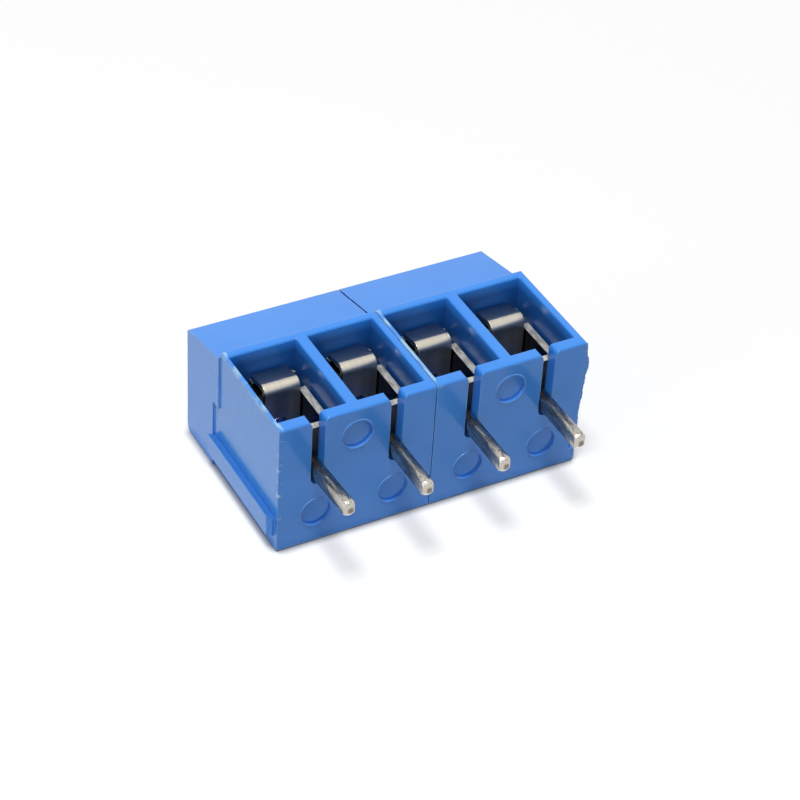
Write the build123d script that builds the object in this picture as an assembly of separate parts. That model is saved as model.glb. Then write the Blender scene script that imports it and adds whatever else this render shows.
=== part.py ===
from build123d import *
import math
import os

os.makedirs("parts", exist_ok=True)

# A row of wire-to-board screw terminals, made of two-pole blocks that interlock end to end.
# Millimetres. X runs along the row, -Y is the side where the wires go in, and the board's
# surface is Z = 0, with the solder pins below it. The origin is the middle of the pin row.

# The row
blocks = 2
poles_per_block = 2
pitch = 5.0
block_gap = 0.06
fit_gap = 0.05

# Housing, as seen from its end
front_reach = 3.7
rear_reach = 5.3
height = 12.3
nose_height = 7.9
ledge_depth = 0.45
slope_run = 0.95
edge_round = 0.2
rear_round = 0.5
foot_round = 0.15
rim_round = 0.18

# Ends of a housing: the upper part stands out on the left and is set back on the right
end_step = 0.1
end_play = 0.07
step_break = 0.5
step_rise = 0.75

# Dovetail rib on the left end, and the groove for it in the right end
rib_front = 2.85
rib_width = 1.4
rib_proud = 0.43
rib_undercut = 0.2
rib_foot = 0.3
rib_lead = 0.25

# Cells
cell_wall = 0.74
window_shift = 0.04
floor_thickness = 0.85
header_band = 0.6
seat_depth = 2.4
pocket_width = 3.0
rear_wall = 0.9

# Pin slots in the housing floor
slot_play = 0.07
slot_rear = 0.95
slot_mouth = 0.28
slot_mouth_depth = 0.5

# Shallow round marks of the ejector pins in the board face
mark_diameter = 1.95
mark_depth = 0.15
rear_mark_y = 3.1
front_mark_y = -1.85

# Clamp screw: an M2.5 with a slotted cheese head, its thread drawn as a plain shank
screw_y = 0.8
screw_diameter = 2.5
screw_gap = 0.04
head_diameter = 3.8
head_height = 1.5
head_sink = 0.1
head_gap = 0.1
head_chamfer = 0.2
driver_slot_width = 0.6
driver_slot_depth = 0.7
slot_turns = (18, 74, 142, 50)
neck_diameter = 1.2
neck_gap = 0.05
stake_spread = 0.2
bore_chamfer = 0.2

# Contact: a strip folded into a C, open on the left, with a drawn collar for the screw
stock = 0.45
bend_radius = 0.2
contact_left = 1.9
contact_right = 1.92
tongue_front = 2.45
side_front = 1.46
side_rise = 0.46
side_notch = 0.9
top_front = 1.65
top_corner = 0.6
contact_gap = 0.05
collar_wall = 0.2
collar_drop = 0.65
seat_gap = 0.05

# Solder pin: rectangular wire, its shouldered upper end staked in the contact's floor.
# The first pin is bent a little to the front, as in the photograph.
pin_width = 0.7
pin_depth = 1.0
pin_length = 4.2
pin_corner = 0.12
pin_shoulder = 0.12
pin_nose = 0.32
pin_tip = 0.56
pin_leans = (0.35, 0, 0, 0)
stake_height = 0.2

# Wire guard: a J-shaped saddle that the screw carries up and down, its front flange leaning back
guard_stock = 0.3
guard_left = 0.88
guard_side_gap = 0.07
guard_front_gap = 0.09
guard_sink = 0.15
guard_height = 1.96
guard_lean = 12
guard_rear = 2.1
guard_bend = 0.25

# Sizes that follow
block_width = poles_per_block * pitch - block_gap
block_left = -block_width / 2
block_right = block_width / 2
cells = [(i - (poles_per_block - 1) / 2) * pitch for i in range(poles_per_block)]
poles = [(i - (blocks * poles_per_block - 1) / 2) * pitch for i in range(blocks * poles_per_block)]
window_width = pitch - cell_wall
ceiling_height = nose_height - header_band
window_height = ceiling_height - floor_thickness
cavity_rear = rear_reach - rear_wall
head_bottom = height - head_sink - head_height
contact_height = window_height - contact_gap
contact_top = floor_thickness + contact_height
guard_top = contact_top - guard_sink
guard_bottom = guard_top - guard_height
pad_top = guard_bottom + guard_stock
side_break = guard_bottom + side_rise
side_inner = contact_right - stock
beyond = 1.0
centred_up = (Align.CENTER, Align.CENTER, Align.MIN)
centred_on_x = (Align.CENTER, Align.MIN, Align.MIN)
centred_flat = (Align.CENTER, Align.MIN)


def yz_prism(outline, left, width):
    """Extrude an outline drawn in Y and Z along X."""
    return extrude(Plane.YZ.offset(left) * outline, width, dir=(1, 0, 0))


def xy_prism(outline, bottom, tall):
    """Extrude an outline drawn in X and Y upwards."""
    return extrude(Plane.XY.offset(bottom) * outline, tall, dir=(0, 0, 1))


def round_corner(outline, place, radius):
    """Round the corner of a flat outline that is nearest to a place."""
    return fillet(outline.vertices().sort_by_distance(place)[0], radius)


def end_profile():
    """The housing's outline: a straight nose, a ledge, a leaning front and a flat top."""
    ledge_y = -front_reach + ledge_depth
    front_foot = (-front_reach, 0)
    nose = (-front_reach, nose_height)
    slope_top = (ledge_y + slope_run, height)
    rear_top = (rear_reach, height)
    rear_foot = (rear_reach, 0)
    outline = Polygon(front_foot, nose, (ledge_y, nose_height), slope_top, rear_top, rear_foot, align=None)
    outline = round_corner(outline, front_foot, foot_round)
    outline = round_corner(outline, rear_foot, foot_round)
    outline = round_corner(outline, nose, edge_round)
    outline = round_corner(outline, slope_top, edge_round)
    return round_corner(outline, rear_top, rear_round)


def above_step(drop):
    """The end profile above the stepped line, which runs at the ledge and rises behind it."""
    low = nose_height - drop
    high = nose_height + step_rise - drop
    turn = step_break + drop
    far = height + beyond
    step = Polygon(
        (-far, low),
        (turn, low),
        (turn, high),
        (far, high),
        (far, far),
        (-far, far),
        align=None,
    )
    return end_profile() & step


def rib_section(base, grow):
    """The rib seen from below, widest at its outer face; grown, it is the groove's section."""
    outer = base - rib_proud - grow
    front = rib_front - grow
    rear = rib_front + rib_width + grow
    return Polygon((base, front + rib_undercut), (outer, front), (outer, rear), (base, rear), align=None)


def pin_slot(cell):
    """Slot in the floor that lets the pin slide in from the front, with a rounded mouth."""
    half = pin_width / 2 + slot_play
    mouth = half + slot_mouth
    straight_length = front_reach + slot_rear - half
    outline = Pos(0, -front_reach) * Rectangle(2 * half, straight_length, align=centred_flat)
    outline += Pos(0, slot_rear - half) * Circle(half)
    flare = Pos(0, -front_reach) * Rectangle(2 * mouth, slot_mouth_depth, align=centred_flat)
    for side in (-mouth, mouth):
        flare -= Pos(side, slot_mouth_depth - front_reach) * Ellipse(slot_mouth, slot_mouth_depth)
    return Pos(cell, 0) * xy_prism(outline + flare, 0, floor_thickness)


def cavity(cell):
    """Wire window and the chamber behind it, which narrows at the contact's stop."""
    place = Pos(cell - window_shift, 0, floor_thickness)
    window = place * Pos(0, -front_reach) * Box(
        window_width, front_reach + seat_depth, window_height, align=centred_on_x
    )
    pocket = place * Pos(0, seat_depth) * Box(
        pocket_width, cavity_rear - seat_depth, window_height, align=centred_on_x
    )
    return window + pocket


def screw_bore(cell):
    """Bore for the screw's head, from the chamber's ceiling to a chamfered mouth on top."""
    radius = head_diameter / 2 + head_gap
    depth = height - ceiling_height
    straight = Pos(0, 0, ceiling_height) * Cylinder(radius, depth, align=centred_up)
    flare = Cone(radius, radius + bore_chamfer, bore_chamfer, align=centred_up)
    mouth = Pos(0, 0, height - bore_chamfer) * flare
    return Pos(cell, screw_y) * (straight + mouth)


def housing():
    """One two-pole housing, centred on X = 0."""
    shell = yz_prism(end_profile(), block_left, block_width)
    shell += yz_prism(above_step(0), block_left - end_step, end_step)
    set_back = end_step + end_play
    shell -= yz_prism(above_step(fit_gap), block_right - set_back, set_back)

    rib_top = nose_height + step_rise
    rib = xy_prism(rib_section(block_left, 0), rib_foot, rib_top - rib_foot)
    foot_edge = rib.edges().filter_by(Axis.Y).group_by(Axis.Z)[0].sort_by(Axis.X)[0]
    shell += chamfer(foot_edge, rib_lead)
    shell -= xy_prism(rib_section(block_right + block_gap, fit_gap), 0, rib_top + fit_gap)

    for cell in cells:
        shell -= cavity(cell)
    front_face = shell.faces().sort_by(Axis.Y)[0]
    rims = [edge for mouth in front_face.inner_wires() for edge in mouth.edges()]
    shell = fillet(rims, rim_round)

    marks = [(cell, rear_mark_y) for cell in cells] + [(0, front_mark_y)]
    for mark_x, mark_y in marks:
        shell -= Pos(mark_x, mark_y) * Cylinder(mark_diameter / 2, mark_depth, align=centred_up)
    for cell in cells:
        shell -= pin_slot(cell)
        shell -= screw_bore(cell)
    return shell


def contact():
    """One folded contact, centred on its pin."""
    wide = contact_left + contact_right
    corner = (Align.MIN, Align.MIN)
    outer = Pos(-contact_left, floor_thickness) * Rectangle(wide, contact_height, align=corner)
    outer = fillet(outer.vertices().group_by(Axis.X)[-1], bend_radius + stock)
    inner = Rectangle(wide - stock, contact_height - 2 * stock, align=corner)
    inner = Pos(-contact_left, floor_thickness + stock) * inner
    inner = fillet(inner.vertices().group_by(Axis.X)[-1], bend_radius)
    contact_rear = seat_depth - seat_gap
    rear_plane = Plane.XZ.offset(-contact_rear)
    strip = extrude(rear_plane * (outer - inner), contact_rear + tongue_front, dir=(0, -1, 0))

    tongue_top = floor_thickness + stock
    plate_bottom = contact_top - stock
    trim = Polygon(
        (-tongue_front, tongue_top),
        (-side_front, tongue_top),
        (-side_front, side_break),
        (-side_notch, side_break),
        (-side_notch, plate_bottom),
        (-top_front, plate_bottom),
        (-top_front, contact_top),
        (-tongue_front, contact_top),
        align=None,
    )
    strip -= yz_prism(trim, -contact_left, wide)
    cut_corner = Pos(-contact_left, -top_front) * Rectangle(
        contact_left - guard_left, top_front - top_corner, align=corner
    )
    strip -= xy_prism(cut_corner, plate_bottom, stock)

    hole_radius = screw_diameter / 2 + screw_gap
    collar = Circle(hole_radius + collar_wall)
    collar_bottom = plate_bottom - collar_drop
    strip += Pos(0, screw_y) * xy_prism(collar, collar_bottom, collar_drop + stock / 2)
    strip -= Pos(0, screw_y) * xy_prism(Circle(hole_radius), collar_bottom, collar_drop + stock)

    strip -= xy_prism(tenon_section(), floor_thickness, stock)
    return strip


def pin_section(shrink):
    """Section of the pin's wire, with its long edges broken."""
    outline = Rectangle(pin_width - 2 * shrink, pin_depth - 2 * shrink)
    return chamfer(outline.vertices(), pin_corner)


def tenon_section():
    """Section of the pin's reduced upper end."""
    return pin_section(pin_shoulder)


def solder_pin(lean):
    """One solder pin with a bullet nose, its upper end staked over the contact's floor."""
    wire = xy_prism(pin_section(0), 0, floor_thickness)
    wire += extrude(pin_section(0), math.hypot(pin_length, lean), dir=(0, -lean, -pin_length))
    face = Pos(0, -pin_length) * Rectangle(pin_width, pin_length + floor_thickness, align=centred_flat)
    face = fillet(face.vertices().group_by(Axis.Y)[0], pin_nose)
    wire &= extrude(Plane.XZ * face, pin_depth + lean, both=True)
    tip_centre = -lean * (1 - pin_tip / pin_length)
    tip = Pos(0, tip_centre, pin_tip - pin_length) * Sphere(pin_tip)
    upper = Pos(0, 0, pin_tip - pin_length) * Box(
        pin_width, 2 * (pin_depth + lean), pin_length + floor_thickness, align=centred_up
    )
    wire &= tip + upper
    tenon = xy_prism(tenon_section(), floor_thickness, stock)
    stake = xy_prism(pin_section(0), floor_thickness + stock, stake_height)
    return wire + tenon + stake


def wire_guard():
    """One saddle: a front flange, a bend and a pad with a countersunk hole for the screw's neck."""
    slope = math.tan(math.radians(guard_lean))
    flange = guard_stock / math.cos(math.radians(guard_lean))
    rear = -top_front - guard_front_gap
    inner_corner = rear - slope * (guard_top - pad_top)
    outer_corner = rear - flange - slope * guard_height
    section = Polygon(
        (rear - flange, guard_top),
        (outer_corner, guard_bottom),
        (guard_rear, guard_bottom),
        (guard_rear, pad_top),
        (inner_corner, pad_top),
        (rear, guard_top),
        align=None,
    )
    section = round_corner(section, (outer_corner, guard_bottom), guard_bend + guard_stock)
    section = round_corner(section, (inner_corner, pad_top), guard_bend)
    saddle = yz_prism(section, -guard_left, guard_left + side_inner - guard_side_gap)
    hole_radius = neck_diameter / 2 + neck_gap
    saddle -= Pos(0, screw_y) * xy_prism(Circle(hole_radius), guard_bottom, guard_stock)
    countersink = Cone(hole_radius + stake_spread, hole_radius, stake_spread, align=centred_up)
    return saddle - Pos(0, screw_y, guard_bottom) * countersink


def clamp_screw(turn):
    """One screw: slotted head, shank, and a neck staked into the saddle's countersink."""
    neck = neck_diameter / 2
    shank = screw_diameter / 2
    shank_bottom = pad_top + neck_gap
    stake_top = guard_bottom + stake_spread
    head_top = head_bottom + head_height
    half_section = Polygon(
        (0, guard_bottom),
        (neck + stake_spread, guard_bottom),
        (neck, stake_top),
        (neck, shank_bottom),
        (shank, shank_bottom),
        (shank, head_bottom),
        (head_diameter / 2, head_bottom),
        (head_diameter / 2, head_top - head_chamfer),
        (head_diameter / 2 - head_chamfer, head_top),
        (0, head_top),
        align=None,
    )
    screw = revolve(Plane.XZ * half_section, Axis.Z)
    groove = Box(head_diameter, driver_slot_width, driver_slot_depth, align=centred_up)
    screw -= Pos(0, 0, head_top - driver_slot_depth) * groove
    return Pos(0, screw_y) * Rot(0, 0, turn) * screw


def save(shape, name):
    """Write one named piece."""
    export_step(shape, "parts/" + name + ".step")


side_names = ("left", "right")
for index in range(blocks):
    block_x = (index - (blocks - 1) / 2) * poles_per_block * pitch
    save(Pos(block_x, 0) * housing(), "housing_" + side_names[index])

for index, pole in enumerate(poles):
    number = str(index + 1)
    save(Pos(pole, 0) * contact(), "contact_" + number)
    save(Pos(pole, 0) * solder_pin(pin_leans[index]), "solder_pin_" + number)
    save(Pos(pole, 0) * wire_guard(), "wire_guard_" + number)
    save(Pos(pole, 0) * clamp_screw(slot_turns[index]), "clamp_screw_" + number)
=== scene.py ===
import math

import bmesh
import bpy
from mathutils import Matrix, Vector


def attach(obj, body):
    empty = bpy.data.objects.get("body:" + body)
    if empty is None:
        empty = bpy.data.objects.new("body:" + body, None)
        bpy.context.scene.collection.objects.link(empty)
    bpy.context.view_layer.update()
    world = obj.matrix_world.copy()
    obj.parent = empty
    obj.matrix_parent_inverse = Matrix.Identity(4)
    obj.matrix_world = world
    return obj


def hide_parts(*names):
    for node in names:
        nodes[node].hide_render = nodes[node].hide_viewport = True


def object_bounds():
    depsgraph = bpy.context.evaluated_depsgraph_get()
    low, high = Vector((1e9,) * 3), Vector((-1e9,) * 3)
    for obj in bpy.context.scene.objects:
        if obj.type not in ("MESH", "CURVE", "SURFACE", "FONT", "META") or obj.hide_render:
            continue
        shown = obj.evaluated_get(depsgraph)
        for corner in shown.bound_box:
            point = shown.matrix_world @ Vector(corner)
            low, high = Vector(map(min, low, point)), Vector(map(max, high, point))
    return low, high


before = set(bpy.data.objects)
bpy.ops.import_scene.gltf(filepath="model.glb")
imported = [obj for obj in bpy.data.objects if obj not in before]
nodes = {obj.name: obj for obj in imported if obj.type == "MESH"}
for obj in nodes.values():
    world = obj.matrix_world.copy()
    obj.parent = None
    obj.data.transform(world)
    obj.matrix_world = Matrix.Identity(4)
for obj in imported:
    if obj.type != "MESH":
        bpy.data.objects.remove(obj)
cad_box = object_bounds()

mm = 0.001

# The two housings are injection-moulded blue nylon, hooked together by a rib and a groove. Their
# skin keeps the mould's fine grain, the left end is scuffed and the edges are rubbed paler. Inside
# the cells, where little light gets in, painted shade darkens the nylon's colour, and so it does on
# the rib's undercut flank.
nylon_bright = (0.042, 0.284, 0.880, 1.0)
nylon_deep = (0.038, 0.262, 0.830, 1.0)
nylon_rubbed = (0.230, 0.520, 0.950, 1.0)
nylon_scuffed = (0.075, 0.300, 0.760, 1.0)
nylon_nick = (0.460, 0.740, 0.940, 1.0)
nylon_painted_cell_shade = (0.018, 0.120, 0.420, 1.0)
nylon_painted_flank_shade = (0.045, 0.190, 0.500, 1.0)
nylon_chafed = (0.300, 0.560, 0.800, 1.0)
nylon_crease = 26.0
nylon_ior = 1.5
edge_softness = 0.09 * mm
edge_rub = 0.09 * mm
weld_reach = 0.0004 * mm
to_left = (-1.0, 0.0, 0.0)
to_wires = (0.0, -1.0, 0.0)
to_board = (0.0, 0.0, -1.0)


def node_at(tree, kind, settings=(), links=()):
    """Add a shader node, set its sockets by name, and join sockets to it."""
    made = tree.nodes.new(kind)
    for name, value in dict(settings).items():
        made.inputs[name].default_value = value
    for name, source in dict(links).items():
        tree.links.new(source, made.inputs[name])
    return made


def fresh_material(name):
    """An empty node material, and its tree."""
    material = bpy.data.materials.new(name)
    material.use_nodes = True
    tree = material.node_tree
    tree.nodes.clear()
    return material, tree


def ramp(tree, source, low, high, start=0.0, end=1.0):
    """A value remapped from low and high to start and end."""
    span = {"From Min": low, "From Max": high, "To Min": start, "To Max": end}
    return node_at(tree, "ShaderNodeMapRange", span, {"Value": source}).outputs["Result"]


def noise_value(tree, scale, detail, stretch=(1.0, 1.0, 1.0)):
    """Noise read in the object's own coordinates, at a scale per metre."""
    place = tree.nodes.new("ShaderNodeTexCoord")
    mapped = node_at(tree, "ShaderNodeMapping", {"Scale": stretch}, {"Vector": place.outputs["Object"]})
    links = {"Vector": mapped.outputs["Vector"]}
    return node_at(tree, "ShaderNodeTexNoise", {"Scale": scale, "Detail": detail}, links).outputs["Fac"]


def marks(tree, pattern):
    """A mask of marks. A pattern is a noise's scale, detail and stretch, and then a ramp's limits."""
    noise, limits = pattern
    return ramp(tree, noise_value(tree, *noise), *limits)


def maths(tree, operation, first, second):
    """One sum of two values; the second may be a number."""
    made = tree.nodes.new("ShaderNodeMath")
    made.operation = operation
    tree.links.new(first, made.inputs[0])
    if isinstance(second, float):
        made.inputs[1].default_value = second
    else:
        tree.links.new(second, made.inputs[1])
    return made.outputs["Value"]


def product(tree, mask, *others):
    """A mask multiplied by others, so that it is left only where they all are."""
    for other in others:
        mask = maths(tree, "MULTIPLY", mask, other)
    return mask


def place_along(tree, axis):
    """The object's own coordinate along X, Y or Z, in metres."""
    place = tree.nodes.new("ShaderNodeTexCoord")
    split = node_at(tree, "ShaderNodeSeparateXYZ", (), {"Vector": place.outputs["Object"]})
    return split.outputs[axis]


def between(tree, axis, begins, full, start=0.0, end=1.0):
    """A mask along X, Y or Z, from a place where it begins to one where it is full, in millimetres."""
    return ramp(tree, place_along(tree, axis), begins * mm, full * mm, start, end)


def near_plane(tree, axis, plane, begins, full):
    """A mask that grows towards a plane across X, Y or Z; the plane and distances are in millimetres."""
    away = maths(tree, "SUBTRACT", place_along(tree, axis), plane * mm)
    away = maths(tree, "ABSOLUTE", away, 0.0)
    return ramp(tree, away, begins * mm, full * mm)


def facing(tree, direction, begins, full, start=0.0, end=1.0):
    """A mask of how squarely the surface faces a direction in the object's own frame."""
    place = tree.nodes.new("ShaderNodeTexCoord")
    lean = tree.nodes.new("ShaderNodeVectorMath")
    lean.operation = "DOT_PRODUCT"
    tree.links.new(place.outputs["Normal"], lean.inputs[0])
    lean.inputs[1].default_value = direction
    return ramp(tree, lean.outputs["Value"], begins, full, start, end)


def soft_normal(tree, reach):
    """The surface's normal, rounded over its edges."""
    rounded = node_at(tree, "ShaderNodeBevel", {"Radius": reach})
    rounded.samples = 6
    return rounded.outputs["Normal"]


def rubbed_edges(tree, reach, begins=0.995, full=0.80):
    """Near 1 along edges: how far the rounded normal leans from the face's own."""
    lean = tree.nodes.new("ShaderNodeVectorMath")
    lean.operation = "DOT_PRODUCT"
    own = tree.nodes.new("ShaderNodeNewGeometry")
    tree.links.new(soft_normal(tree, reach), lean.inputs[0])
    tree.links.new(own.outputs["Normal"], lean.inputs[1])
    return ramp(tree, lean.outputs["Value"], begins, full)


def colour_mix(tree, factor, first, second):
    """Two colours mixed by a factor; each is a colour or a socket."""
    made = tree.nodes.new("ShaderNodeMix")
    made.data_type = "RGBA"
    tree.links.new(factor, made.inputs["Factor"])
    sockets = [socket for socket in made.inputs if socket.type == "RGBA"]
    for socket, value in zip(sockets, (first, second)):
        if isinstance(value, tuple):
            socket.default_value = value
        else:
            tree.links.new(value, socket)
    return [socket for socket in made.outputs if socket.type == "RGBA"][0]


# In the values for marks below, a pair of places is in millimetres: where the mark begins, and where
# it is full. Two more numbers are the mask's own values there.
end_scratches = ((5200.0, 4.0, (1.0, 0.22, 0.9)), (0.35, 0.70, 0.35, 1.0))
end_mottling = ((1300.0, 4.0, (1.0, 0.45, 1.0)), (0.38, 0.62, 0.45, 1.0))
below_step = (8.8, 8.5, 0.5, 1.0)


def end_scuffs(tree, left_end):
    """Fine scratches and mottling on the left end, stronger below its step."""
    return product(tree, left_end, marks(tree, end_scratches), marks(tree, end_mottling),
                   between(tree, "Z", *below_step))


block_pitch = 10.0 * mm
nose_side = (0.38, 0.26)
nose_front = (-3.40, -3.52)
nose_chafes = ((3200.0, 4.0, (1.0, 1.0, 0.35)), (0.46, 0.60))


def nose_chafing(tree):
    """Chafes down the left edge of each housing's nose."""
    from_row_start = maths(tree, "ADD", place_along(tree, "X"), block_pitch)
    across_block = maths(tree, "MODULO", from_row_start, block_pitch)
    begins, full = nose_side
    left_edge = ramp(tree, across_block, begins * mm, full * mm)
    return product(tree, left_edge, between(tree, "Y", *nose_front), marks(tree, nose_chafes))


corner_side = (-9.72, -9.90)
corner_skin = (0.26, 0.08)
corner_nicks = ((2300.0, 4.0, (0.6, 1.0, 0.6)), (0.58, 0.63))


def board_nicks(tree):
    """Nicks along the left edge of the board face."""
    return product(tree, between(tree, "X", *corner_side), between(tree, "Z", *corner_skin),
                   marks(tree, corner_nicks))


cell_floor = (0.6, 1.1)
cell_roof = (7.50, 7.40)
cell_rear = (2.70, 2.50)
cell_ends = (9.80, 9.751)


def in_cells(tree):
    """The inside of the cells, from the board wall to the roof and short of the end walls' skins."""
    return product(tree, between(tree, "Z", *cell_floor), between(tree, "Z", *cell_roof),
                   between(tree, "Y", *cell_rear), near_plane(tree, "X", 0.0, *cell_ends))


flank_direction = (0.42, -0.91, 0.0)
flank_facing = (0.90, 0.97)
flank_root = (-9.96, -10.02)


def rib_flank_shade(tree):
    """Painted shade on the rib's undercut front flank, which gets less light than the faces round it."""
    return product(tree, facing(tree, flank_direction, *flank_facing), between(tree, "X", *flank_root))


rib_corner = (3.05, 0.20, 0.10)
rib_wall = (-9.86, -9.92)
wear_patches = ((900.0, 4.0), (0.30, 0.58, 0.25, 1.0))
full_shelter = 0.4


def edge_wear(tree, cell_shade_mask):
    """Edges rubbed in patches, but not in the cells' painted shade or the corner beside the rib."""
    beside_rib = product(tree, near_plane(tree, "Y", *rib_corner), between(tree, "X", *rib_wall))
    sheltered = maths(tree, "MAXIMUM", cell_shade_mask, beside_rib)
    open_to_wear = ramp(tree, sheltered, 0.0, full_shelter, 1.0, 0.0)
    return product(tree, rubbed_edges(tree, edge_rub), marks(tree, wear_patches), open_to_wear)


squarely = (0.85, 0.98)
roof_facing = (0.60, 0.90)
end_skin = (-9.80, -9.90)
cell_mouth = (-3.80, -3.50)
cell_depth = (-3.45, -2.85)
behind_pins = (0.0, 0.5)
mould_clouds = ((260.0, 3.0), (0.30, 0.70))
gloss_clouds = ((1500.0, 3.0), (0.30, 0.70, 0.15, 0.21))
mould_grain = (9000.0, 2.0)
grain_off_end = 0.3
grain_strength = 0.10
grain_depth = 0.006 * mm
scuff_dulling = 0.08
rear_dulling = 0.35
open_sheen = 0.5
roof_sheen = 0.12


def nylon_material():
    """Glossy blue nylon: faint clouds, wear, painted shade in the cells and flank, and mould grain."""
    material, tree = fresh_material("blue_nylon")
    left_end = product(tree, facing(tree, to_left, *squarely), between(tree, "X", *end_skin))
    scuffed = end_scuffs(tree, left_end)
    cells = in_cells(tree)
    # Painted shade: the nylon is darkened inside the cells, away from their mouths.
    cell_shade_mask = product(tree, cells, between(tree, "Y", *cell_depth))
    # Of these tints, the cells' and the rib flank's are painted shade; the others are wear and nicks.
    tints = (
        (scuffed, nylon_scuffed),
        (nose_chafing(tree), nylon_chafed),
        (board_nicks(tree), nylon_nick),
        (cell_shade_mask, nylon_painted_cell_shade),
        (rib_flank_shade(tree), nylon_painted_flank_shade),
        (edge_wear(tree, cell_shade_mask), nylon_rubbed),
    )
    colour = colour_mix(tree, marks(tree, mould_clouds), nylon_deep, nylon_bright)
    for mask, tint in tints:
        colour = colour_mix(tree, mask, colour, tint)

    roofs = product(tree, cells, between(tree, "Y", *cell_mouth), facing(tree, to_board, *roof_facing))
    sheen = ramp(tree, roofs, 0.0, 1.0, open_sheen, roof_sheen)
    rear_walls = product(tree, between(tree, "Y", *behind_pins), facing(tree, to_wires, *squarely))
    rough = maths(tree, "ADD", marks(tree, gloss_clouds), maths(tree, "MULTIPLY", scuffed, scuff_dulling))
    rough = maths(tree, "ADD", rough, maths(tree, "MULTIPLY", rear_walls, rear_dulling))

    grain_share = ramp(tree, left_end, 0.0, 1.0, grain_off_end, 1.0)
    grain = product(tree, noise_value(tree, *mould_grain), grain_share)
    bump = node_at(tree, "ShaderNodeBump", {"Strength": grain_strength, "Distance": grain_depth},
                   {"Height": grain, "Normal": soft_normal(tree, edge_softness)})
    shader = node_at(tree, "ShaderNodeBsdfPrincipled", {"IOR": nylon_ior},
                     {"Base Color": colour, "Roughness": rough, "Specular IOR Level": sheen,
                      "Normal": bump.outputs["Normal"]})
    node_at(tree, "ShaderNodeOutputMaterial", (), {"Surface": shader.outputs["BSDF"]})
    return material


def merged_copy(node):
    """The solid's own mesh with its loose triangles joined up."""
    shape = bmesh.new()
    shape.from_mesh(nodes[node].data)
    bmesh.ops.remove_doubles(shape, verts=shape.verts, dist=weld_reach)
    return shape


def shade_smooth(shape, crease):
    """Shade a shape smooth, apart from edges sharper than the crease in degrees."""
    for face in shape.faces:
        face.smooth = True
    for edge in shape.edges:
        edge.smooth = edge.is_manifold and edge.calc_face_angle(0.0) < math.radians(crease)


def finish_piece(shape, name, body, material):
    """Make a mesh object of a worked shape, on its body and with its finish."""
    mesh = bpy.data.meshes.new(name)
    shape.to_mesh(mesh)
    shape.free()
    mesh.materials.append(material)
    piece = bpy.data.objects.new(name, mesh)
    bpy.context.scene.collection.objects.link(piece)
    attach(piece, body)
    return piece


blue_nylon = nylon_material()
for side in ("left", "right"):
    shell = merged_copy("housing_" + side)
    shade_smooth(shell, nylon_crease)
    housing = finish_piece(shell, "moulded_housing_" + side, "block", blue_nylon)
    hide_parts("housing_" + side)

# Around each ejector mark in the board face the mould left a fine raised ring, which catches the
# light. It is part of the same nylon, and stands a few hundredths of a millimetre proud.
ring_radius = 1.0 * mm
ring_width = 0.12 * mm
ring_foot = 0.5 * ring_width
ring_crest = 0.22 * ring_width
ring_proud = 0.03 * mm
ring_steps = 48
ring_crease = 80.0
moulding_sunk = 0.004 * mm
block_middles = {"left": -block_pitch / 2, "right": block_pitch / 2}
ring_places = ((-2.5 * mm, 3.1 * mm), (2.5 * mm, 3.1 * mm), (0.0, -1.85 * mm))


def ring_around(shape, x, y):
    """Spin a low rounded ridge about an ejector mark."""
    profile = (
        (-ring_foot, moulding_sunk),
        (-ring_crest, -ring_proud),
        (ring_crest, -ring_proud),
        (ring_foot, moulding_sunk),
    )
    points = [shape.verts.new((x + ring_radius + across, y, z)) for across, z in profile]
    edges = [shape.edges.new(pair) for pair in zip(points, points[1:] + points[:1])]
    bmesh.ops.spin(shape, geom=points + edges, cent=(x, y, 0), axis=(0, 0, 1), angle=math.tau,
                   steps=ring_steps, use_merge=True)


for side, middle in block_middles.items():
    rings = bmesh.new()
    for x, y in ring_places:
        ring_around(rings, middle + x, y)
    bmesh.ops.remove_doubles(rings, verts=rings.verts, dist=weld_reach)
    bmesh.ops.recalc_face_normals(rings, faces=rings.faces)
    shade_smooth(rings, ring_crease)
    finish_piece(rings, "ejector_rings_" + side, "block", blue_nylon)

# A ragged film of flash stands out from the right end, in the plane of the board face, where the
# mould closed badly. It is thin and wavy, and is left on as it came from the mould.
flash_start = (9.93 * mm, -3.62 * mm)
flash_length = 8.85 * mm
flash_thickness = 0.09 * mm
flash_steps = 90
flash_widths = (0.13, 0.22, 0.40, 0.26, 0.19, 0.17, 0.06, 0.05, 0.13, 0.15, 0.07, 0.04)
flash_least = 0.02
flash_ripples = ((0.022, 61.0, 0.0), (0.014, 149.0, 1.3))


def flash_reach(share):
    """How far the flash stands out, in millimetres, at a share of its length."""
    last = len(flash_widths) - 1
    first = min(int(share * last), last - 1)
    part_way = share * last - first
    smooth = part_way * part_way * (3 - 2 * part_way)
    ragged = sum(height * math.sin(rate * share + start) for height, rate, start in flash_ripples)
    width = flash_widths[first] * (1 - smooth) + flash_widths[first + 1] * smooth
    return max(width + ragged, flash_least)


flash = bmesh.new()
bmesh.ops.create_grid(flash, x_segments=1, y_segments=flash_steps, size=0.5)
for vertex in flash.verts:
    along = vertex.co.y + 0.5
    outwards = (vertex.co.x + 0.5) * flash_reach(along) * mm
    vertex.co = Vector((flash_start[0] + outwards, flash_start[1] + along * flash_length, 0.0))
bmesh.ops.solidify(flash, geom=flash.faces[:], thickness=flash_thickness)
bmesh.ops.recalc_face_normals(flash, faces=flash.faces)
lowest = min(vertex.co.z for vertex in flash.verts)
bmesh.ops.translate(flash, verts=flash.verts, vec=(0, 0, moulding_sunk - lowest))
finish_piece(flash, "moulding_flash", "block", blue_nylon)
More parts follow.
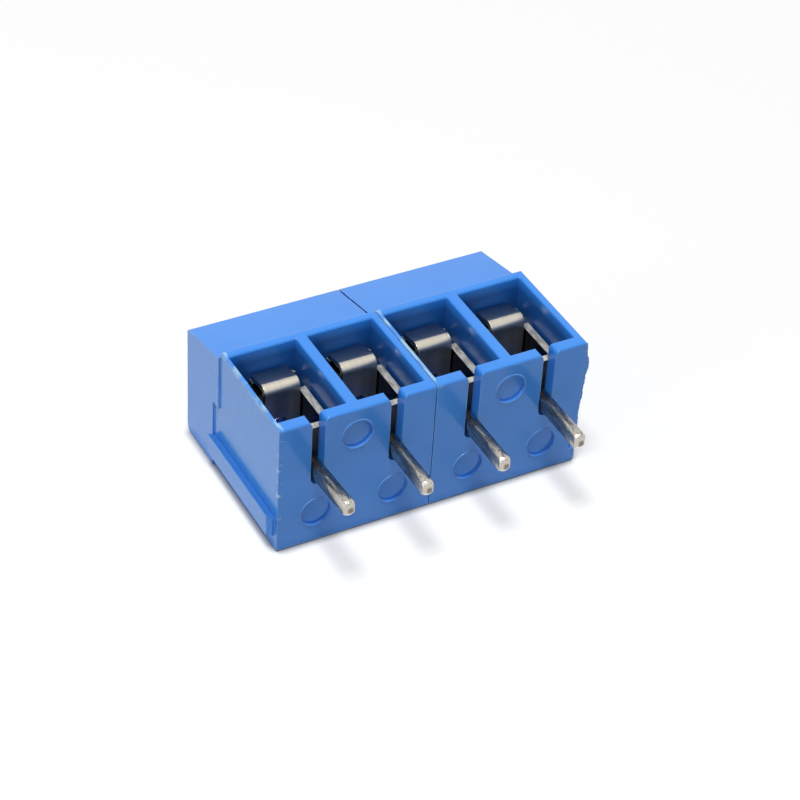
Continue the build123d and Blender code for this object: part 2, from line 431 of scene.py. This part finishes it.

# Each contact is a strip of tin-plated brass, stamped and folded into a C and pushed into its cell.
# Rolling leaves fine lines along the strip, and the sheared edges are bright and grainy. Its faces
# towards the board and the left end lie in shadow, and that shade is painted into their colour.
contact_face = (0.46, 0.43, 0.39, 1.0)
contact_shade = (0.34, 0.32, 0.29, 1.0)
contact_sheared = (0.54, 0.53, 0.50, 1.0)
contact_grain = (0.30, 0.30, 0.29, 1.0)
contact_painted_shade = (0.15, 0.11, 0.07, 1.0)
contact_crease = 26.0
pole_numbers = "1234"
metal_softness = 0.05 * mm
metal_blotches = ((1400.0, 3.0), (0.40, 0.70, 0.0, 0.35))
line_tones = (0.35, 0.65)
strip_rolling = (5000.0, 3.0, (1.0, 0.07, 0.4))
strip_line_depth = 0.0005 * mm
strip_gloss = (0.20, 0.70)
strip_facing = (0.80, 0.95)
sheared_grain = ((4200.0, 2.0, (1.0, 1.0, 0.35)), (0.38, 0.60))


def metal_colours(tree, bright, shade, lines):
    """The colour of a metal with drawn lines and faint blotches."""
    tint = colour_mix(tree, ramp(tree, lines, *line_tones), shade, bright)
    return colour_mix(tree, marks(tree, metal_blotches), tint, shade)


def metal_shader(tree, tint, rough, height, depth, softness=metal_softness):
    """Join up a metal from its colour, its roughness, and the height and depth of its lines."""
    bump = node_at(tree, "ShaderNodeBump", {"Strength": 1.0, "Distance": depth},
                   {"Height": height, "Normal": soft_normal(tree, softness)})
    shader = node_at(tree, "ShaderNodeBsdfPrincipled", {"Metallic": 1.0},
                     {"Base Color": tint, "Roughness": rough, "Normal": bump.outputs["Normal"]})
    node_at(tree, "ShaderNodeOutputMaterial", (), {"Surface": shader.outputs["BSDF"]})


tinned_strip, tree = fresh_material("tinned_strip")
strip_lines = noise_value(tree, *strip_rolling)
strip_tint = metal_colours(tree, contact_face, contact_shade, strip_lines)
sheared = facing(tree, to_wires, *strip_facing)
sheared_tint = colour_mix(tree, marks(tree, sheared_grain), contact_grain, contact_sheared)
strip_tint = colour_mix(tree, sheared, strip_tint, sheared_tint)
# Painted shade: the faces towards the board and the left end are darkened.
board_side = facing(tree, to_board, *strip_facing)
left_side = facing(tree, to_left, *strip_facing)
painted_shade_mask = maths(tree, "MAXIMUM", board_side, left_side)
strip_tint = colour_mix(tree, painted_shade_mask, strip_tint, contact_painted_shade)
strip_rough = ramp(tree, sheared, 0.0, 1.0, *strip_gloss)
metal_shader(tree, strip_tint, strip_rough, strip_lines, strip_line_depth)
for number in pole_numbers:
    strip = merged_copy("contact_" + number)
    shade_smooth(strip, contact_crease)
    contact = finish_piece(strip, "folded_contact_" + number, "block", tinned_strip)
    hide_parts("contact_" + number)

# The solder pins are cut from drawn and tinned brass wire. Their ends are rounded like a bullet, and
# the drawing die leaves long scratches down them, darkest on the side towards the wires.
pin_tin = (0.50, 0.48, 0.44, 1.0)
pin_shade = (0.16, 0.15, 0.14, 1.0)
pin_tip = (0.56, 0.53, 0.47, 1.0)
pin_cut = (0.22, 0.19, 0.16, 1.0)
pin_dash = (0.09, 0.09, 0.09, 1.0)
pin_crease = 50.0
pin_softness = 0.12 * mm
wire_drawing = (6500.0, 3.0, (1.0, 1.0, 0.16))
wire_gloss = (0.35, 0.65, 0.30, 0.16)
wire_scratches = (9000.0, 3.0, (1.0, 1.0, 0.30))
scratch_depth = 0.030 * mm
dash_tones = (0.53, 0.60)
dash_facing = (0.50, 0.90, 0.12, 0.65)
tip_lightening = (-2.4, -3.7)
cut_facing = (0.88, 0.97)

tinned_wire, tree = fresh_material("tinned_wire")
wire_lines = noise_value(tree, *wire_drawing)
wire_tint = metal_colours(tree, pin_tin, pin_shade, wire_lines)
# The colour turns lighter towards the tip.
wire_tint = colour_mix(tree, between(tree, "Z", *tip_lightening), wire_tint, pin_tip)
wire_tint = colour_mix(tree, facing(tree, to_board, *cut_facing), wire_tint, pin_cut)
scratches = noise_value(tree, *wire_scratches)
dashes = product(tree, ramp(tree, scratches, *dash_tones), facing(tree, to_wires, *dash_facing))
wire_tint = colour_mix(tree, dashes, wire_tint, pin_dash)
metal_shader(tree, wire_tint, ramp(tree, wire_lines, *wire_gloss), scratches, scratch_depth, pin_softness)
for number in pole_numbers:
    wire = merged_copy("solder_pin_" + number)
    shade_smooth(wire, pin_crease)
    pin = finish_piece(wire, "drawn_pin_" + number, "block", tinned_wire)
    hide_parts("solder_pin_" + number)

# Each wire guard is a saddle of bright rolled steel strip, folded to a J, that hangs on the screw's
# neck and clamps the wire down on the contact's tongue. A painted blue-grey reflection of the housing
# darkens it towards its top and under its front edge, and its underside gets painted shade and is
# streaked.
guard_bright = (0.62, 0.58, 0.50, 1.0)
guard_shade = (0.56, 0.52, 0.45, 1.0)
guard_painted_underside = (0.36, 0.38, 0.38, 1.0)
guard_streak = (0.62, 0.60, 0.54, 1.0)
guard_painted_reflection = (0.18, 0.26, 0.36, 1.0)
guard_crease = 26.0
guard_rolling = (7000.0, 3.0, (1.0, 0.10, 0.10))
guard_streaks = ((1100.0, 1.0, (1.0, 0.05, 0.05)), (0.35, 0.65))
guard_speckle = (11000.0, 2.0)
speckle_depth = 0.0045 * mm
guard_gloss = (0.27, 0.46)
under_facing = (0.70, 0.97)
under_front = (-2.1, -1.1)
guard_upper = (5.9, 7.0, 0.0, 0.55)

rolled_steel, tree = fresh_material("rolled_steel")
# Painted shade on the underside, with streaks, turning to a painted blue reflection at the front.
painted_underside_tint = colour_mix(tree, marks(tree, guard_streaks), guard_painted_underside, guard_streak)
painted_underside_tint = colour_mix(tree, between(tree, "Y", *under_front), guard_painted_reflection, painted_underside_tint)
below = facing(tree, to_board, *under_facing)
steel_tint = metal_colours(tree, guard_bright, guard_shade, noise_value(tree, *guard_rolling))
# A painted blue reflection and shade towards the top of the flange.
steel_tint = colour_mix(tree, between(tree, "Z", *guard_upper), steel_tint, guard_painted_reflection)
steel_tint = colour_mix(tree, below, steel_tint, painted_underside_tint)
steel_rough = ramp(tree, below, 0.0, 1.0, *guard_gloss)
metal_shader(tree, steel_tint, steel_rough, noise_value(tree, *guard_speckle), speckle_depth)
for number in pole_numbers:
    strip = merged_copy("wire_guard_" + number)
    shade_smooth(strip, guard_crease)
    body = "wire_guard_" + number
    guard = finish_piece(strip, "folded_guard_" + number, body, rolled_steel)
    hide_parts("wire_guard_" + number)

# The clamp screws are M2.5 slotted cheese heads of zinc-plated steel, with a rolled thread under
# the head and a plain neck riveted over below the saddle.
zinc_bright = (0.74, 0.75, 0.76, 1.0)
zinc_shade = (0.55, 0.56, 0.58, 1.0)
zinc_crystals = (2500.0, 3.0)
zinc_gloss = (0.35, 0.65, 0.20, 0.32)
zinc_depth = 0.0006 * mm
screw_crease = 34.0
pole_pitch = block_pitch / 2
row_middle = 2.5
screw_line = 0.8 * mm
thread_crest = 1.25 * mm
thread_root = 0.99 * mm
thread_sunk = 0.02 * mm
thread_pitch = 0.45 * mm
thread_flank = 0.44 * thread_pitch
thread_flat = 0.07 * thread_pitch
thread_bottom = 5.72 * mm
thread_turns = 10.8
steps_a_turn = 20

zinc_plate, tree = fresh_material("zinc_plate")
crystals = noise_value(tree, *zinc_crystals)
zinc_tint = metal_colours(tree, zinc_bright, zinc_shade, crystals)
metal_shader(tree, zinc_tint, ramp(tree, crystals, *zinc_gloss), crystals, zinc_depth)


def slim_shank(shape, axis_x):
    """Draw the plain shank in to the root of the thread."""
    for vertex in shape.verts:
        across = vertex.co.x - axis_x
        along = vertex.co.y - screw_line
        if abs(math.hypot(across, along) - thread_crest) < thread_sunk:
            vertex.co.x = axis_x + across * thread_root / thread_crest
            vertex.co.y = screw_line + along * thread_root / thread_crest


def add_thread(shape, axis_x):
    """Wind one ridge round the shank: a profile spun while it climbs."""
    inner = thread_root - thread_sunk
    profile = (
        (inner, -thread_flank),
        (thread_crest, -thread_flat),
        (thread_crest, thread_flat),
        (inner, thread_flank),
    )
    ring = [shape.verts.new((axis_x + r, screw_line, thread_bottom + z)) for r, z in profile]
    start = shape.faces.new(ring)
    steps = round(thread_turns * steps_a_turn)
    bmesh.ops.spin(shape, geom=[start], cent=(axis_x, screw_line, 0), axis=(0, 0, 1),
                   dvec=(0, 0, thread_turns * thread_pitch / steps), angle=-math.tau * thread_turns,
                   steps=steps, use_merge=False)


for number in pole_numbers:
    axis_x = (int(number) - row_middle) * pole_pitch
    shank = merged_copy("clamp_screw_" + number)
    slim_shank(shank, axis_x)
    thread = bmesh.new()
    add_thread(thread, axis_x)
    bmesh.ops.recalc_face_normals(thread, faces=thread.faces)
    thread_mesh = bpy.data.meshes.new("thread_" + number)
    thread.to_mesh(thread_mesh)
    thread.free()
    shank.from_mesh(thread_mesh)
    bpy.data.meshes.remove(thread_mesh)
    shade_smooth(shank, screw_crease)
    body = "clamp_screw_" + number
    screw = finish_piece(shank, "slotted_screw_" + number, body, zinc_plate)
    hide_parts("clamp_screw_" + number)

# The table is the white surface on which the part lies on its rear wall. It faces the wire windows,
# and from behind it can't be seen. Where the part stands close a painted contact shadow greys it, and
# far from the part it glows white.
table_y = cad_box[1][1] + 0.02 * mm
table_half = 0.6
table_white = (1.0, 1.0, 1.0, 1.0)
table_bounce = (0.5, 0.5, 0.5, 1.0)
table_painted_shadow = (0.10, 0.12, 0.15, 1.0)
painted_shadow_reach = 0.8 * mm
painted_shadow_samples = 8
painted_shadow_tones = (0.40, 0.85)
table_glow = 0.50
glow_begins = 40.0 * mm
glow_full = 110.0 * mm
upright = Matrix.Rotation(math.pi / 2, 3, "X")
table_shape = bmesh.new()
bmesh.ops.create_grid(table_shape, x_segments=1, y_segments=1, size=table_half)
bmesh.ops.rotate(table_shape, verts=table_shape.verts, cent=(0, 0, 0), matrix=upright)
bmesh.ops.translate(table_shape, verts=table_shape.verts, vec=(0, table_y, 0))
table_mesh = bpy.data.meshes.new("table")
table_shape.to_mesh(table_mesh)
table_shape.free()
table = bpy.data.objects.new("table", table_mesh)
table.visible_shadow = False
bpy.context.scene.collection.objects.link(table)


def seen_ray(tree):
    """1 for rays from the camera, a reflection or a clear material."""
    path = tree.nodes.new("ShaderNodeLightPath")
    seen = path.outputs["Is Camera Ray"]
    for other in ("Is Glossy Ray", "Is Transmission Ray"):
        seen = maths(tree, "MAXIMUM", seen, path.outputs[other])
    return seen


def shader_mix(tree, factor, first, second):
    """Two surfaces mixed by a factor."""
    made = node_at(tree, "ShaderNodeMixShader", (), {"Fac": factor})
    tree.links.new(first, made.inputs[1])
    tree.links.new(second, made.inputs[2])
    return made.outputs["Shader"]


table_material, tree = fresh_material("white_table")
# Painted shadow: ambient occlusion greys the table close to the part.
painted_shadow_ao = node_at(tree, "ShaderNodeAmbientOcclusion", {"Distance": painted_shadow_reach})
painted_shadow_ao.samples = painted_shadow_samples
painted_shadow_share = ramp(tree, painted_shadow_ao.outputs["AO"], *painted_shadow_tones)
table_seen = colour_mix(tree, painted_shadow_share, table_painted_shadow, table_white)
paper_colour = colour_mix(tree, seen_ray(tree), table_bounce, table_seen)
paper = node_at(tree, "ShaderNodeBsdfDiffuse", (), {"Color": paper_colour})
glow = node_at(tree, "ShaderNodeEmission", {"Strength": 1.0}, {"Color": table_seen})
place = tree.nodes.new("ShaderNodeTexCoord")
reach = node_at(tree, "ShaderNodeVectorMath", (), {"Vector": place.outputs["Object"]})
reach.operation = "LENGTH"
glow_share = ramp(tree, reach.outputs["Value"], glow_begins, glow_full, table_glow, 1.0)
glow_share = product(tree, seen_ray(tree), glow_share)
lit = shader_mix(tree, glow_share, paper.outputs["BSDF"], glow.outputs["Emission"])
side_seen = tree.nodes.new("ShaderNodeNewGeometry")
clear = tree.nodes.new("ShaderNodeBsdfTransparent")
one_sided = shader_mix(tree, side_seen.outputs["Backfacing"], lit, clear.outputs["BSDF"])
node_at(tree, "ShaderNodeOutputMaterial", (), {"Surface": one_sided})
table_mesh.materials.append(table_material)

# Light: a large soft lamp straight over the wire windows, weaker ones to the left, above the screws
# and behind, and a white tent all round that gives little light of its own.
tent_fill = 0.22
tent_white = (1.0, 1.0, 1.0, 1.0)
part_middle = Vector((0.0, 0.0, 4.0)) * mm
world = bpy.data.worlds.new("tent")
bpy.context.scene.world = world
world.use_nodes = True
tree = world.node_tree
tree.nodes.clear()
strength = ramp(tree, seen_ray(tree), 0.0, 1.0, tent_fill, 1.0)
cloth = node_at(tree, "ShaderNodeBackground", {"Color": tent_white}, {"Strength": strength})
node_at(tree, "ShaderNodeOutputWorld", (), {"Surface": cloth.outputs["Background"]})


def soft_lamp(name, place, size, level):
    """A square area lamp at a place in millimetres, aimed at the part; level 1 lights white to white."""
    data = bpy.data.lights.new(name, "AREA")
    data.shape = "SQUARE"
    data.size = size * mm
    spot = Vector(place) * mm
    data.energy = level * math.pi ** 2 * (spot - part_middle).length_squared
    lamp = bpy.data.objects.new(name, data)
    lamp.location = spot
    lamp.rotation_euler = (part_middle - spot).to_track_quat("-Z", "Y").to_euler()
    bpy.context.scene.collection.objects.link(lamp)


soft_lamp("overhead_lamp", place=(-56, -355, -36), size=90, level=0.84)
soft_lamp("left_lamp", place=(-240, -90, -40), size=120, level=0.10)
soft_lamp("top_lamp", place=(-170, 50, 230), size=120, level=0.12)
soft_lamp("rear_lamp", place=(60, 260, 60), size=120, level=0.55)

# Camera: at the photograph's viewing angle, fitted to the pins and the corners of the housings.
# Its place and its two directions come from that fit, in the frame's own axes.
photo_lens = 112.21
photo_sensor = 36.0
photo_near = 5.0 * mm
photo_place = Vector((-57.66, -92.193, -95.129)) * mm
photo_right = Vector((0.88360, -0.05128, -0.46542))
photo_look = Vector((0.39098, 0.62775, 0.67310))
camera_data = bpy.data.cameras.new("photo_camera")
camera_data.lens = photo_lens
camera_data.sensor_width = photo_sensor
camera_data.clip_start = photo_near
camera = bpy.data.objects.new("photo_camera", camera_data)
photo_up = photo_right.cross(photo_look)
turned = Matrix((photo_right, photo_up, -photo_look)).transposed().to_4x4()
camera.matrix_world = Matrix.Translation(photo_place) @ turned
bpy.context.scene.collection.objects.link(camera)
bpy.context.scene.camera = camera
bpy.context.scene.view_settings.view_transform = "Standard"
